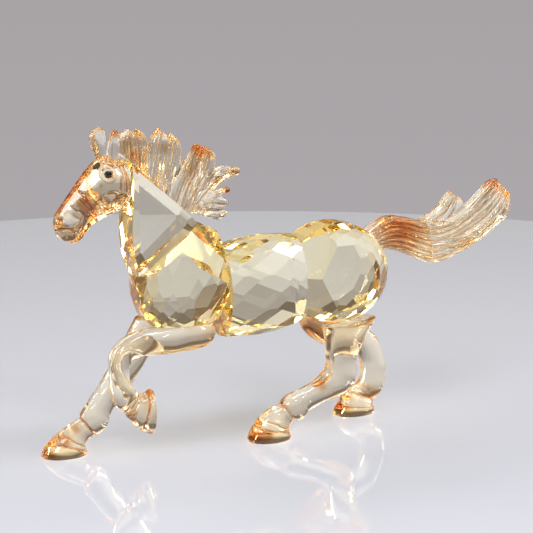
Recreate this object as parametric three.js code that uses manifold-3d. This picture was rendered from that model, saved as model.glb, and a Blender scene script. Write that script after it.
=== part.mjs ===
// A crystal glass figurine of a galloping horse, in millimetres, +Z up.
// Four facet-cut stones make the neck, chest, barrel and rump. Cast pieces make the head, mane, tail and legs.
// Every piece has a flat pad, and a thin film of cured adhesive joins each pad to its neighbour.
// The head points along -X, the tail along +X, and the horse's left side faces -Y.
import * as THREE from "three";
import { ConvexGeometry } from "three/addons/geometries/ConvexGeometry.js";
import { ConvexHull } from "three/addons/math/ConvexHull.js";
import { mergeVertices } from "three/addons/utils/BufferGeometryUtils.js";
import Module from "manifold-3d";

const wasm = await Module();
wasm.setup();

// ---- Driving dimensions ----
const GAP = 0.3; // between the two glass faces of a bonded joint
const FILM = 0.2; // the cured adhesive inside that gap
const NECK_HALF = 9.5; // half thicknesses of the stones, across the horse
const CHEST_HALF = 16.5;
const BARREL_HALF = 14.5;
const RUMP_HALF = 15.8;
const CHEST_FLOOR = 51.5; // height of the face that carries the forelegs
const RUMP_FLOOR = 46; // height of the face that carries the hind legs
const EYE_RADIUS = 1.4;
const EYE_CLEARANCE = 0.15; // around a bead in its socket
const RINGS_PER_SPAN = 2; // rings between two given sections of a cast piece
const LEG_SIDES = 16;
const HEAD_SIDES = 24;
const EAR_SIDES = 12;
const STRAND_SIDES = 10;
const STRAND_OVERLAP = 1.25; // strands lie this much wider than their share of a lock, and melt together
const SHORTER = 0.27; // every second strand ends this share of the lock's last stretch sooner
const TIP_TAPER = 0.35; // a strand's thickness across the horse at its tip, as a share of the full one
const TIP_WIDTH = 0.6; // and its width within the lock
const SWAY = 0.45; // strands stand this far to one side and the other in turn

// ---- Materials ----
const cutGlass = new THREE.MeshStandardMaterial({ color: 0xefdf9e, roughness: 0.02, metalness: 0 });
const castGlass = new THREE.MeshStandardMaterial({ color: 0xf2d2ab, roughness: 0.03, metalness: 0 });
const hairGlass = new THREE.MeshStandardMaterial({ color: 0xe9b88a, roughness: 0.05, metalness: 0 });
const jetGlass = new THREE.MeshStandardMaterial({ color: 0x0a0a0c, roughness: 0.05, metalness: 0 });
const adhesive = new THREE.MeshStandardMaterial({ color: 0xf6efd8, roughness: 0.1, metalness: 0 });

const figure = new THREE.Group();

function addPiece(name, geometry, material) {
  const mesh = new THREE.Mesh(geometry, material);
  mesh.name = name;
  figure.add(mesh);
  return mesh;
}

// ---- Solids ----
function solidOf(geometry) {
  const bare = geometry.clone().deleteAttribute("normal").deleteAttribute("uv");
  const merged = mergeVertices(bare, 1e-4);
  return new wasm.Manifold(
    new wasm.Mesh({
      numProp: 3,
      vertProperties: merged.attributes.position.array,
      triVerts: new Uint32Array(merged.index.array),
    }),
  );
}

function geometryOf(solid) {
  const { vertProperties, triVerts } = solid.getMesh();
  const geometry = new THREE.BufferGeometry();
  geometry.setAttribute("position", new THREE.BufferAttribute(vertProperties, 3));
  geometry.setIndex(new THREE.BufferAttribute(triVerts, 1));
  geometry.computeVertexNormals();
  return geometry;
}

// A large block that fills the space on the far side of a joint's plane, `back` mm before it.
function spaceBeyond(joint, back) {
  const size = 120;
  const block = new THREE.BoxGeometry(size, size, size);
  const facing = new THREE.Quaternion().setFromUnitVectors(new THREE.Vector3(0, 0, 1), joint.normal);
  const centre = joint.point.clone().addScaledVector(joint.normal, size / 2 - back);
  block.applyMatrix4(new THREE.Matrix4().compose(centre, facing, new THREE.Vector3(1, 1, 1)));
  return solidOf(block);
}

// ---- Joints between pieces ----
// The normal points from the first piece to the second. Each piece stops half a gap short of the plane.
function joint(x, y, z, angle, lean = 0) {
  const a = THREE.MathUtils.degToRad(angle);
  const b = THREE.MathUtils.degToRad(lean);
  const normal = new THREE.Vector3(Math.cos(a) * Math.cos(b), Math.sin(b), Math.sin(a) * Math.cos(b));
  return { point: new THREE.Vector3(x, y, z), normal };
}

const joints = {
  neckHead: joint(-60.2, 0, 106, 178),
  neckChest: joint(-46, 0, 80.3, -53),
  chestBarrel: joint(-22, 0, 66, 0),
  barrelRump: joint(10.5, 0, 65, 0),
  neckMane: joint(-47.6, 0, 104.3, 46.5),
  rumpTail: joint(45.3, 0, 76.7, 40),
  chestForelegs: joint(-42, 0, CHEST_FLOOR, -90),
  rumpHindLegs: joint(32, 0, RUMP_FLOOR, -90),
};

// A thin elliptical film in the middle of a joint, with half sizes up the joint (along) and over it (across).
function addFilm(name, at, x, y, z, along, across) {
  const film = new THREE.CylinderGeometry(1, 1, FILM, 20);
  film.rotateX(Math.PI / 2);
  film.scale(across, along, 1);
  const up = new THREE.Vector3(0, 1, 0).cross(at.normal).normalize();
  const side = up.clone().cross(at.normal).normalize();
  const basis = new THREE.Matrix4().makeBasis(side, up, side.clone().cross(up));
  const centre = new THREE.Vector3(x, y, z);
  centre.addScaledVector(at.normal, -centre.clone().sub(at.point).dot(at.normal));
  film.applyMatrix4(basis.setPosition(centre));
  addPiece(name, film, adhesive);
}

// ---- Facet-cut stones ----
// The corners of the solid that a set of planes leaves. Each plane is a direction and a distance from the
// origin. A plane's dual point is its direction over its distance, and each face of those points' hull is a corner.
function cornersOf(planes) {
  const hull = new ConvexHull().setFromPoints(planes.map((p) => p.normal.clone().divideScalar(p.distance)));
  const corners = [];
  for (const face of hull.faces) {
    const corner = face.normal.clone().divideScalar(face.normal.dot(face.midpoint));
    if (!corners.some((c) => c.distanceTo(corner) < 0.02)) corners.push(corner);
  }
  return corners;
}

// How far an outline reaches in a direction.
function reach(outline, angle) {
  return Math.max(...outline.map(([x, y]) => x * Math.cos(angle) + y * Math.sin(angle)));
}

// An oval outline. power 2 is an ellipse, and more fills out the corners.
function oval(halfX, halfY, power = 2, count = 24) {
  return Array.from({ length: count }, (_, i) => {
    const a = (2 * Math.PI * i) / count;
    const bulge = (value) => Math.sign(value) * Math.abs(value) ** (2 / power);
    return [halfX * bulge(Math.cos(a)), halfY * bulge(Math.sin(a))];
  });
}

// A stone with an outline in its local XY plane and its half thickness along local Z.
// Each tier is a ring of facets: tilt from the local Z axis, how many, the share of a step that the ring is turned
// by, and how deep it is cut. roundness 2 follows an ellipsoid, and 1 fills the box round it.
function cutStone({ outline, half, roundness, tiers, table, joins, bevels = [], place, faces = [1, -1] }) {
  const planes = [];
  for (const { tilt, count, turn = 0, deeper = 0 } of tiers) {
    const t = THREE.MathUtils.degToRad(tilt);
    for (let i = 0; i < count; i++) {
      const angle = (2 * Math.PI * (i + turn)) / count;
      const side = reach(outline, angle) * Math.sin(t);
      const distance = (side ** roundness + (half * Math.cos(t)) ** roundness) ** (1 / roundness) - deeper;
      for (const face of tilt === 90 ? [1] : faces) {
        const normal = new THREE.Vector3(
          Math.cos(angle) * Math.sin(t),
          Math.sin(angle) * Math.sin(t),
          face * Math.cos(t),
        );
        planes.push({ normal, distance });
      }
    }
  }
  for (const face of faces) planes.push({ normal: new THREE.Vector3(0, 0, face), distance: half * table });
  const back = place.clone().invert();
  for (const { point, normal } of [...joins, ...bevels]) {
    const localNormal = normal.clone().transformDirection(back);
    const localPoint = point.clone().applyMatrix4(back);
    planes.push({ normal: localNormal, distance: localPoint.dot(localNormal) - GAP / 2 });
  }
  return new ConvexGeometry(cornersOf(planes)).applyMatrix4(place);
}

function flipped({ point, normal }) {
  return { point, normal: normal.clone().negate() };
}

// Bevels round a flat pad, on both sides of the horse. They pass `reachOut` mm from the horse's middle at the
// pad, and each one faces `spread` degrees round from the last.
function rimBevels({ point }, angle, reachOut, lean, spread, count) {
  return Array.from({ length: count }, (_, i) => {
    const turned = angle + spread * (i - (count - 1) / 2);
    return [-1, 1].map((side) => joint(point.x, side * reachOut, point.z, turned, side * lean));
  }).flat();
}

// Local Z across the horse, for stones whose large faces look sideways.
function sideways(x, z) {
  return new THREE.Matrix4().makeRotationX(Math.PI / 2).setPosition(x, 0, z);
}

// Local Z along the horse, for a stone that is cut like a drum. `rise` tips its tail end up, in degrees.
function lengthways(x, z, rise) {
  const turn = new THREE.Matrix4().makeBasis(
    new THREE.Vector3(0, 1, 0),
    new THREE.Vector3(0, 0, 1),
    new THREE.Vector3(1, 0, 0),
  );
  return new THREE.Matrix4().makeRotationY(-THREE.MathUtils.degToRad(rise)).multiply(turn).setPosition(x, 0, z);
}

const NECK_CENTRE = [-51.5, 94];
const neckOutline = [
  [-60, 116.5],
  [-63.2, 97.5],
  [-60.6, 84],
  [-57.6, 70],
  [-34, 88],
  [-32.8, 94],
].map(([x, z]) => [x - NECK_CENTRE[0], z - NECK_CENTRE[1]]);

addPiece(
  "neck_stone",
  cutStone({
    outline: neckOutline,
    half: NECK_HALF,
    roundness: 1.3,
    table: 0.95,
    tiers: [
      { tilt: 90, count: 22 },
      { tilt: 70, count: 22, turn: 0.5 },
      { tilt: 50, count: 16, deeper: 0.3 },
      { tilt: 31, count: 11, turn: 0.5, deeper: 0.9 },
    ],
    joins: [joints.neckHead, joints.neckChest, joints.neckMane],
    place: sideways(...NECK_CENTRE),
  }),
  cutGlass,
);

addPiece(
  "chest_stone",
  cutStone({
    outline: oval(18.8, 22.8, 2.7),
    half: CHEST_HALF,
    roundness: 1.55,
    table: 0.95,
    tiers: [
      { tilt: 90, count: 20, turn: 0.5 },
      { tilt: 76, count: 20 },
      { tilt: 62, count: 20, turn: 0.5 },
      { tilt: 48, count: 16 },
      { tilt: 35, count: 14, turn: 0.5, deeper: 0.1 },
      { tilt: 23, count: 10, deeper: 0.2 },
      { tilt: 13, count: 6, turn: 0.5, deeper: 0.2 },
    ],
    joins: [flipped(joints.neckChest), joints.chestBarrel, joints.chestForelegs],
    bevels: [
      ...rimBevels(joints.chestBarrel, 0, 12.6, 44, 36, 3),
      ...rimBevels(joints.chestBarrel, 0, 15.3, 66, 40, 2),
      ...rimBevels(joints.chestBarrel, 64, 21, 40, 0, 1),
    ],
    place: sideways(-38.6, 69.8),
  }),
  cutGlass,
);

addPiece(
  "barrel_stone",
  cutStone({
    outline: oval(BARREL_HALF, 19.6, 2.15),
    half: 34,
    roundness: 1.8,
    table: 0.95,
    tiers: [
      { tilt: 90, count: 13, turn: 0.5 },
      { tilt: 82, count: 13, turn: 0 },
      { tilt: 75, count: 13, turn: 0.5 },
      { tilt: 66, count: 13, turn: 0 },
    ],
    joins: [flipped(joints.chestBarrel), joints.barrelRump],
    place: lengthways(-6, 62.1, 5),
  }),
  cutGlass,
);

addPiece(
  "rump_stone",
  cutStone({
    outline: oval(22.8, 20.3, 2.05),
    half: RUMP_HALF,
    roundness: 1.45,
    table: 0.9,
    tiers: [
      { tilt: 90, count: 24 },
      { tilt: 74, count: 24, turn: 0.5 },
      { tilt: 58, count: 24 },
      { tilt: 43, count: 16, turn: 0.5, deeper: 0.1 },
      { tilt: 28, count: 12, deeper: 0.3 },
    ],
    joins: [flipped(joints.barrelRump), joints.rumpTail, joints.rumpHindLegs],
    bevels: rimBevels(joints.barrelRump, 180, 10.6, 54, 28, 3),
    place: sideways(27.2, 64.4),
  }),
  cutGlass,
);

// ---- Cast pieces ----
// A section is [x, y, z, lean, long, wide]: its centre, the angle of its long axis above +X in the horse's side
// view, its half size along that axis, and its half size across the horse.

// Sections between the given ones, on a smooth curve through all six numbers.
function refined(sections, perSpan) {
  const spans = sections.length - 1;
  const place = new THREE.CatmullRomCurve3(
    sections.map((s) => new THREE.Vector3(s[0], s[1], s[2])),
    false,
    "centripetal",
  );
  const shape = new THREE.CatmullRomCurve3(
    sections.map((s) => new THREE.Vector3(s[3], s[4], s[5])),
    false,
    "centripetal",
  );
  return Array.from({ length: spans * perSpan + 1 }, (_, i) => {
    const t = i / (spans * perSpan);
    return [...place.getPoint(t).toArray(), ...shape.getPoint(t).toArray()];
  });
}

// A closed body through rings of points, with a flat fan over each end.
function loft(rings) {
  const sides = rings[0].length;
  const points = rings.flat();
  const index = [];
  for (let r = 0; r + 1 < rings.length; r++) {
    for (let i = 0; i < sides; i++) {
      const a = r * sides + i;
      const b = r * sides + ((i + 1) % sides);
      index.push(a, b, b + sides, a, b + sides, a + sides);
    }
  }
  for (const [start, turn] of [
    [0, 1],
    [(rings.length - 1) * sides, -1],
  ]) {
    const middle = new THREE.Vector3();
    for (let i = 0; i < sides; i++) middle.addScaledVector(points[start + i], 1 / sides);
    points.push(middle);
    for (let i = 0; i < sides; i++) {
      const edge = [start + ((i + 1) % sides), start + i];
      if (turn < 0) edge.reverse();
      index.push(...edge, points.length - 1);
    }
  }
  const geometry = new THREE.BufferGeometry().setFromPoints(points).setIndex(index);
  const solid = solidOf(geometry);
  if (solid.volume() > 0) return solid;
  for (let i = 0; i < index.length; i += 3) [index[i], index[i + 1]] = [index[i + 1], index[i]];
  return solidOf(geometry.setIndex(index));
}

// A ring of points on a section. profile(angle) gives the share of the two half sizes at each angle.
function ring(section, sides, profile) {
  const [x, y, z, lean, long, wide] = section;
  const a = THREE.MathUtils.degToRad(lean);
  return Array.from({ length: sides }, (_, i) => {
    const [u, v] = profile((2 * Math.PI * i) / sides, i);
    return new THREE.Vector3(x + long * u * Math.cos(a), y + wide * v, z + long * u * Math.sin(a));
  });
}

const round = (angle) => [Math.cos(angle), Math.sin(angle)];

// Flat on the nose and the cheeks with a broad bevel between them, and narrower at the jaw.
function headProfile(angle) {
  const [u, v] = [Math.abs(Math.cos(angle)), Math.abs(Math.sin(angle))];
  const sharpness = 12;
  const reach = (u ** sharpness + v ** sharpness + ((u + 0.95 * v) / 1.36) ** sharpness) ** (-1 / sharpness);
  const narrowing = Math.cos(angle) > 0 ? 0.14 : 0.36;
  return [reach * Math.cos(angle), reach * Math.sin(angle) * (1 - narrowing * (reach * u) ** 2)];
}

function cast(sections, sides, profile = round, perSpan = RINGS_PER_SPAN) {
  return loft(refined(sections, perSpan).map((s) => ring(s, sides, profile)));
}

// The head runs from the flat pad behind the jaw to the lips.
const headSections = [
  [-60, 0, 106.2, 84, 8.8, 6.4],
  [-63.6, 0, 106.6, 88, 9.8, 7.2],
  [-67.6, 0, 106.8, 91, 11.2, 7.5],
  [-71.4, 0, 105.3, 95, 11.2, 7.2],
  [-74.9, 0, 102.6, 103, 9.7, 6.1],
  [-77.9, 0, 99.5, 113, 8.2, 5.2],
  [-80.6, 0, 96.2, 123, 7.5, 4.7],
  [-82.7, 0, 93.3, 130, 7.2, 4.7],
  [-84.4, 0, 91, 134, 6.4, 4.7],
  [-85.9, 0, 89.3, 135, 4.6, 4],
  [-87, 0, 88.3, 135, 2.1, 2.2],
];

// The near ear is pricked and seen edge on. The far ear is turned out, with a broad cup.
const nearEar = [
  [-66.6, -3.4, 114.6, 5, 2.6, 2.5],
  [-66.8, -4.1, 119, 2, 2.5, 2.4],
  [-66.5, -4.3, 123, 0, 2.3, 2.2],
  [-66.1, -4.5, 126.4, -4, 1.7, 1.5],
  [-65.8, -4.7, 128.6, -8, 0.5, 0.5],
];
const farEar = [
  [-68.2, 3.4, 114.6, 8, 2.6, 2.6],
  [-68.9, 4.1, 119.2, 4, 2.8, 2.5],
  [-69.7, 4.4, 123.2, 0, 3.7, 2.2],
  [-69.4, 4.6, 126.4, -6, 3, 1.6],
  [-68.8, 4.8, 128.8, -10, 0.8, 0.6],
];

const EYE = { x: -69.3, y: 6.5, z: 112.2 };

// A socket that the eye bead sits in, on one side of the head.
function eyeSocket(side) {
  const hole = new THREE.CylinderGeometry(EYE_RADIUS + EYE_CLEARANCE, EYE_RADIUS + EYE_CLEARANCE, 6, 20);
  return solidOf(hole.translate(EYE.x, side * (EYE.y + 2), EYE.z));
}

let head = cast(headSections, HEAD_SIDES, headProfile);
head = head.subtract(spaceBeyond(flipped(joints.neckHead), GAP / 2));
for (const ear of [nearEar, farEar]) head = head.add(cast(ear, EAR_SIDES));
for (const side of [-1, 1]) head = head.subtract(eyeSocket(side));
addPiece("head_casting", geometryOf(head), castGlass);

function addEye(name, side) {
  const dome = [new THREE.Vector2(0, 0), new THREE.Vector2(EYE_RADIUS, 0), new THREE.Vector2(EYE_RADIUS, 0.7)];
  for (const a of [20, 40, 60, 80]) {
    const t = THREE.MathUtils.degToRad(a);
    dome.push(new THREE.Vector2(EYE_RADIUS * Math.cos(t), 0.7 + 0.9 * Math.sin(t)));
  }
  dome.push(new THREE.Vector2(0, 1.6));
  const bead = new THREE.LatheGeometry(dome, 20);
  if (side < 0) bead.rotateX(Math.PI);
  bead.translate(EYE.x, side * (EYE.y - 1 + EYE_CLEARANCE), EYE.z);
  addPiece(name, bead, jetGlass);
}
addEye("left_eye_bead", -1);
addEye("right_eye_bead", 1);

// A lock is a fan of strands between two edges, each a list of [x, z] points from the root to the tip.
// y and wide are the lock's middle and half thickness across the horse.
function lock({ edges, strands, y = 0, wide }) {
  const sections = Array.from({ length: strands }, (_, i) => strandSections(edges, strands, i, y, wide));
  return sections.map((strand) => cast(strand, STRAND_SIDES));
}

// The sections of the i-th strand of a lock. It narrows to a round tip.
function strandSections(edges, strands, i, y, wide) {
  const [near, far] = edges.map((edge) => edge.map(([x, z]) => new THREE.Vector3(x, 0, z)));
  const last = near.length - 1;
  const share = (i + 0.5) / strands;
  const middle = (k) => near[k].clone().lerp(far[k], share);
  let lean = 0;
  return near.map((from, k) => {
    const across = far[k].clone().sub(from);
    const place = middle(k);
    if (k === last && i % 2) place.lerp(middle(k - 1), SHORTER);
    const long = (across.length() / (2 * strands)) * STRAND_OVERLAP * (k === last ? TIP_WIDTH : 1);
    const taper = (k === last ? TIP_TAPER : k === last - 1 ? 0.85 : 1) * (1 - (0.25 * k) / last);
    const heading = THREE.MathUtils.radToDeg(Math.atan2(-across.z, -across.x));
    lean = k ? heading + 360 * Math.round((lean - heading) / 360) : heading;
    const side = (i % 2 ? SWAY : -SWAY) * Math.min(1, k / 2);
    return [place.x, y + side, place.z, lean, long, wide * taper];
  });
}

function ball(x, y, z, radius) {
  return solidOf(new THREE.SphereGeometry(radius, 12, 8).translate(x, y, z));
}

// A tuft is several locks melted together, cut flat where it is bonded.
function tuft(locks, rootJoint, extra = []) {
  const all = [...locks.flatMap(lock), ...extra].reduce((a, b) => a.add(b));
  return all.subtract(spaceBeyond(flipped(rootJoint), GAP / 2));
}

const pollMane = [
  {
    edges: [
      [[-58, 109.5], [-61.5, 115.6], [-63, 120.5], [-62.6, 125], [-59.6, 128]],
      [[-51.8, 105], [-52, 112], [-51.9, 119], [-52.6, 124.6], [-55, 127.8]],
    ],
    strands: 3,
    wide: 4.6,
  },
];

const crestMane = [
  {
    edges: [
      [[-53.2, 104], [-51.8, 114], [-51.2, 119.6], [-50, 124.2], [-47.8, 127.8]],
      [[-46.6, 98], [-45, 109.4], [-44.2, 116], [-43.2, 122], [-44.2, 127.2]],
    ],
    strands: 2,
    y: -1,
    wide: 3.6,
  },
  {
    edges: [
      [[-46.8, 99], [-45, 110.4], [-43.8, 117], [-42.8, 122.4], [-41.9, 125.2]],
      [[-41.8, 95], [-38, 108.6], [-37, 115], [-37.4, 120.2], [-39.2, 124.6]],
    ],
    strands: 2,
    y: 1,
    wide: 3.4,
  },
];

const withersMane = [
  {
    edges: [
      [[-44, 95], [-40.6, 106.6], [-38.4, 112.4], [-37.2, 117.2], [-34, 119.8], [-30.8, 120.4]],
      [[-37.4, 90], [-30.6, 101.8], [-26, 107.6], [-23.8, 112.6], [-24.6, 116.8], [-27.4, 119.4]],
    ],
    strands: 4,
    y: -0.6,
    wide: 3.8,
  },
  {
    edges: [
      [[-39, 93], [-33, 101.6], [-26.6, 107.6], [-21.4, 110.6], [-17.4, 110.4], [-15.6, 109.8]],
      [[-36, 90], [-28.8, 97.2], [-23.4, 103], [-19.6, 105.4], [-17, 106.6], [-15.4, 107.2]],
    ],
    strands: 3,
    y: 0.5,
    wide: 3.4,
  },
  {
    edges: [
      [[-36.4, 92], [-28.6, 99.4], [-22.8, 101.8], [-19.6, 102.6]],
      [[-35, 90], [-27.4, 95], [-22.2, 98.4], [-19.4, 100.4]],
    ],
    strands: 2,
    y: -1,
    wide: 3.2,
  },
  {
    edges: [
      [[-36, 93], [-28, 98.2], [-22.4, 99], [-17.8, 97]],
      [[-35, 88.4], [-28.4, 91.6], [-23, 90.4], [-18.8, 91.8]],
    ],
    strands: 3,
    y: -0.4,
    wide: 3.2,
  },
];

// A cast piece stays clear of its neighbours in the row by the joint's gap.
const clearOf = (solid, x, z, angle) => solid.subtract(spaceBeyond(joint(x, 0, z, angle), 0));
// The space ahead of the poll and below the forelock, which the head fills.
const overHead = spaceBeyond(joint(-59.9, 0, 0, 180), 0).intersect(spaceBeyond(joint(0, 0, 117.2, -90), 0));
const poll = tuft(pollMane, joints.neckMane).subtract(overHead);
addPiece("poll_mane_casting", geometryOf(clearOf(poll, -52, 108, 0)), hairGlass);
const crest = clearOf(tuft(crestMane, joints.neckMane), -51.7, 108, 180);
addPiece("crest_mane_casting", geometryOf(clearOf(crest, -42.4, 105, -35)), hairGlass);
const tips = [ball(-14.5, 0.5, 108.5, 1.75), ball(-18.8, -1, 101.5, 1.25)];
const withers = clearOf(tuft(withersMane, joints.neckMane, tips), -42, 105, 145);
addPiece("withers_mane_casting", geometryOf(clearOf(withers, -30, 92.6, -109)), hairGlass);

const tail = [
  {
    edges: [
      [
        [43, 79.4], [52.5, 84.4], [60.5, 83.8], [68, 81.8], [75.5, 80.6],
        [83, 82.2], [91, 86.6], [97, 91.4], [100.4, 95], [104.6, 97],
      ],
      [
        [44, 71.6], [53, 71.2], [60, 69.2], [67.5, 65.6], [75, 63.8],
        [83.5, 66.2], [92.4, 69.8], [102.4, 75.4], [109.2, 81.6], [110.9, 90.6],
      ],
    ],
    strands: 7,
    wide: 5,
  },
  {
    edges: [
      [[68, 81], [76.4, 85.4], [80.2, 90], [82, 93.2]],
      [[73, 75], [82, 82], [86, 88], [85.6, 92.6]],
    ],
    strands: 2,
    y: 1.2,
    wide: 3.6,
  },
  {
    edges: [
      [[76, 81], [83.4, 86.4], [86.6, 90.8]],
      [[82, 76], [88.4, 83.6], [89.8, 88.6]],
    ],
    strands: 1,
    y: 1.6,
    wide: 3,
  },
  {
    edges: [
      [[72, 73], [83, 73.6], [92, 75.6], [97.6, 75]],
      [[72, 66], [83, 67.4], [92, 69.6], [98.6, 72]],
    ],
    strands: 2,
    y: -2,
    wide: 3.2,
  },
];
addPiece("tail_casting", geometryOf(tuft(tail, joints.rumpTail)), hairGlass);

// Legs run from the pad under a stone down to the sole.
const LEFT = -8.5;
const RIGHT = 8;
const legTop = (floor) => floor - GAP / 2;

addPiece(
  "left_foreleg_casting",
  geometryOf(
    cast(
      [
        [-27.9, LEFT, 47.6, 90, 1.6, 2],
        [-29.8, LEFT, 47.2, 90, 4, 5],
        [-35, LEFT, 47, 90, 5.9, 6.3],
        [-44, LEFT, 46.8, 90, 6.2, 6.3],
        [-53, LEFT, 46.4, 92, 5.7, 5.6],
        [-61, LEFT, 45.6, 106, 5, 5.2],
        [-66, LEFT, 43, 138, 4.9, 5],
        [-67.5, LEFT, 37.5, 172, 4.1, 4.4],
        [-67.3, LEFT, 31.5, 184, 4.2, 4.3],
        [-65.8, LEFT, 26.6, 202, 4.9, 4.8],
        [-63.6, LEFT, 23.6, 222, 4.9, 4.6],
        [-62.2, LEFT, 22, 232, 5.1, 4.6],
        [-60.2, LEFT, 20.6, 244, 6.2, 5.5],
        [-57.6, LEFT, 19.2, 256, 8, 6.2],
        [-55.2, LEFT, 18.4, 267, 9.2, 6.6],
        [-54.6, LEFT, 18.3, 268, 9, 6.4],
      ],
      LEG_SIDES,
    ).subtract(spaceBeyond(flipped(joints.chestForelegs), GAP / 2)),
  ),
  castGlass,
);

addPiece(
  "right_foreleg_casting",
  geometryOf(
    cast(
      [
        [-48, RIGHT, legTop(CHEST_FLOOR), 0, 6.4, 6],
        [-50.6, RIGHT, 45.5, -14, 6.6, 6],
        [-55.3, RIGHT, 38, -30, 6.2, 5.8],
        [-59.8, RIGHT, 31, -38, 5.8, 5.4],
        [-64.6, RIGHT, 24.4, -40, 5.4, 5],
        [-69, RIGHT, 18.8, -42, 5.2, 4.8],
        [-71.9, RIGHT, 14, -46, 5.9, 5.2],
        [-74.6, RIGHT, 10.8, -52, 5.6, 5.1],
        [-76.4, RIGHT, 9.5, -58, 4.7, 4.7],
        [-78, RIGHT, 8.7, -56, 4.8, 4.9],
        [-80.3, RIGHT, 7.2, -42, 5.3, 5.4],
        [-82.6, RIGHT, 4.6, -24, 7.2, 6.2],
        [-84.6, RIGHT, 1.2, -5, 9.4, 7],
        [-84.8, RIGHT, 0, 0, 9.4, 6.9],
      ],
      LEG_SIDES,
    ),
  ),
  castGlass,
);

addPiece(
  "left_hind_leg_casting",
  geometryOf(
    cast(
      [
        [31.4, LEFT, legTop(RUMP_FLOOR), 0, 12.2, 7],
        [31.2, LEFT, 44, 0, 11.6, 6.9],
        [29.9, LEFT, 38.5, 3, 9.4, 6.4],
        [29, LEFT, 33.4, 3, 7.7, 5.9],
        [28, LEFT, 28.6, 0, 6.8, 5.4],
        [27.2, LEFT, 23.6, -12, 7.4, 5.2],
        [24.8, LEFT, 19.6, -38, 7.6, 5],
        [18.5, LEFT, 17, -58, 5.3, 4.6],
        [12, LEFT, 14.6, -62, 5, 4.5],
        [7.4, LEFT, 12.6, -60, 5.6, 4.9],
        [4.4, LEFT, 10.8, -56, 5.3, 4.8],
        [2.6, LEFT, 9.8, -54, 4.9, 4.7],
        [0.4, LEFT, 8.6, -46, 5.8, 5.3],
        [-1.6, LEFT, 6.2, -32, 7.3, 6],
        [-3.2, LEFT, 3.2, -14, 8.8, 6.6],
        [-4, LEFT, 0.9, -3, 9.5, 6.9],
        [-4, LEFT, 0, 0, 9.3, 6.7],
      ],
      LEG_SIDES,
    ),
  ),
  castGlass,
);

addPiece(
  "right_hind_leg_casting",
  geometryOf(
    cast(
      [
        [27, RIGHT, legTop(RUMP_FLOOR), 0, 10.4, 6.6],
        [27.8, RIGHT, 41.6, 12, 10, 6.4],
        [33, RIGHT, 36.6, 40, 7.8, 5.8],
        [41, RIGHT, 33, 56, 5.8, 5.2],
        [47.8, RIGHT, 29.6, 38, 5.8, 5],
        [51, RIGHT, 23.2, 6, 5.4, 4.7],
        [51.6, RIGHT, 17.4, -2, 5.1, 4.5],
        [51.4, RIGHT, 12.6, -10, 5.8, 5],
        [49.6, RIGHT, 9.8, -22, 6, 5.1],
        [47.2, RIGHT, 8.2, -30, 5.6, 5],
        [45.6, RIGHT, 6.4, -28, 6.7, 5.7],
        [43.8, RIGHT, 3.2, -12, 8.6, 6.5],
        [43, RIGHT, 0.9, -2, 9.5, 6.8],
        [43, RIGHT, 0, 0, 9.3, 6.6],
      ],
      LEG_SIDES,
    ),
  ),
  castGlass,
);

// ---- Adhesive films ----
addFilm("head_bond", joints.neckHead, -60.2, 0, 106, 6.5, 4.2);
addFilm("neck_chest_bond", joints.neckChest, -46, 0, 80.3, 9.5, 5.6);
addFilm("chest_barrel_bond", joints.chestBarrel, -22, 0, 66, 11, 8);
addFilm("barrel_rump_bond", joints.barrelRump, 10.5, 0, 64.5, 12, 9);
addFilm("tail_bond", joints.rumpTail, 46.6, 0, 77.5, 3.4, 3.4);
addFilm("left_foreleg_bond", joints.chestForelegs, -42, LEFT, CHEST_FLOOR, 5, 3);
addFilm("right_foreleg_bond", joints.chestForelegs, -47, RIGHT, CHEST_FLOOR, 3.6, 3);
addFilm("left_hind_leg_bond", joints.rumpHindLegs, 31, LEFT, RUMP_FLOOR, 6, 2.6);
addFilm("right_hind_leg_bond", joints.rumpHindLegs, 28, RIGHT, RUMP_FLOOR, 6, 2.6);
addFilm("poll_mane_bond", joints.neckMane, -56, 0, 110, 3, 2.4);
addFilm("crest_mane_bond", joints.neckMane, -47.6, 0, 104.3, 3.6, 2.4);
addFilm("withers_mane_bond", joints.neckMane, -38.8, 0, 96.5, 3, 2.4);

// The origin is the middle of the bounding box's base, on the surface that the hooves stand on.
const box = new THREE.Box3().setFromObject(figure, true);
const centre = box.getCenter(new THREE.Vector3());
figure.position.set(-centre.x, -centre.y, -box.min.z);

export default figure;
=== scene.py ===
import math

import bmesh
import bpy
import numpy as np
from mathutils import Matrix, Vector


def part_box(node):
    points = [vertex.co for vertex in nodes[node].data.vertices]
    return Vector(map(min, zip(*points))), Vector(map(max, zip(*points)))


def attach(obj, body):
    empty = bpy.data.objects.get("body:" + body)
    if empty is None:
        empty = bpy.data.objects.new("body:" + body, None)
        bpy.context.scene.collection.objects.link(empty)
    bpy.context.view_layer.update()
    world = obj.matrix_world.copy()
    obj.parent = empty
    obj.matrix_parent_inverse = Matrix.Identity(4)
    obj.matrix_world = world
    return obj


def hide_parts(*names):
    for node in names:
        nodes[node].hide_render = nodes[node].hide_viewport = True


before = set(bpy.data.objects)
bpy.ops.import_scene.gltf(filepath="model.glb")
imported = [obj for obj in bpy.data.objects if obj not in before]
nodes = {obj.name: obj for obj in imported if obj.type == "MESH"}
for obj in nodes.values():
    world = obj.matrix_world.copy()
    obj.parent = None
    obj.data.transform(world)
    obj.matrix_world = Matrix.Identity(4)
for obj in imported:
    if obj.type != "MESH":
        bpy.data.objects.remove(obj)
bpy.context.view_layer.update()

MM = 0.001

# The horse is drawn in millimetres. In that drawing the film between barrel and rump is at X 10.5, in the
# middle of the horse's thickness. ORIGIN is where the row's origin lies in it.
FILM_X = 10.5
film_centre = np.mean(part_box("barrel_rump_bond"), axis=0) / MM
ORIGIN = np.array([FILM_X - film_centre[0], -film_centre[1], 0.0])
AIM = Vector((np.array([0.0, 2.8, 68.3]) - ORIGIN) * MM)


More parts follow.
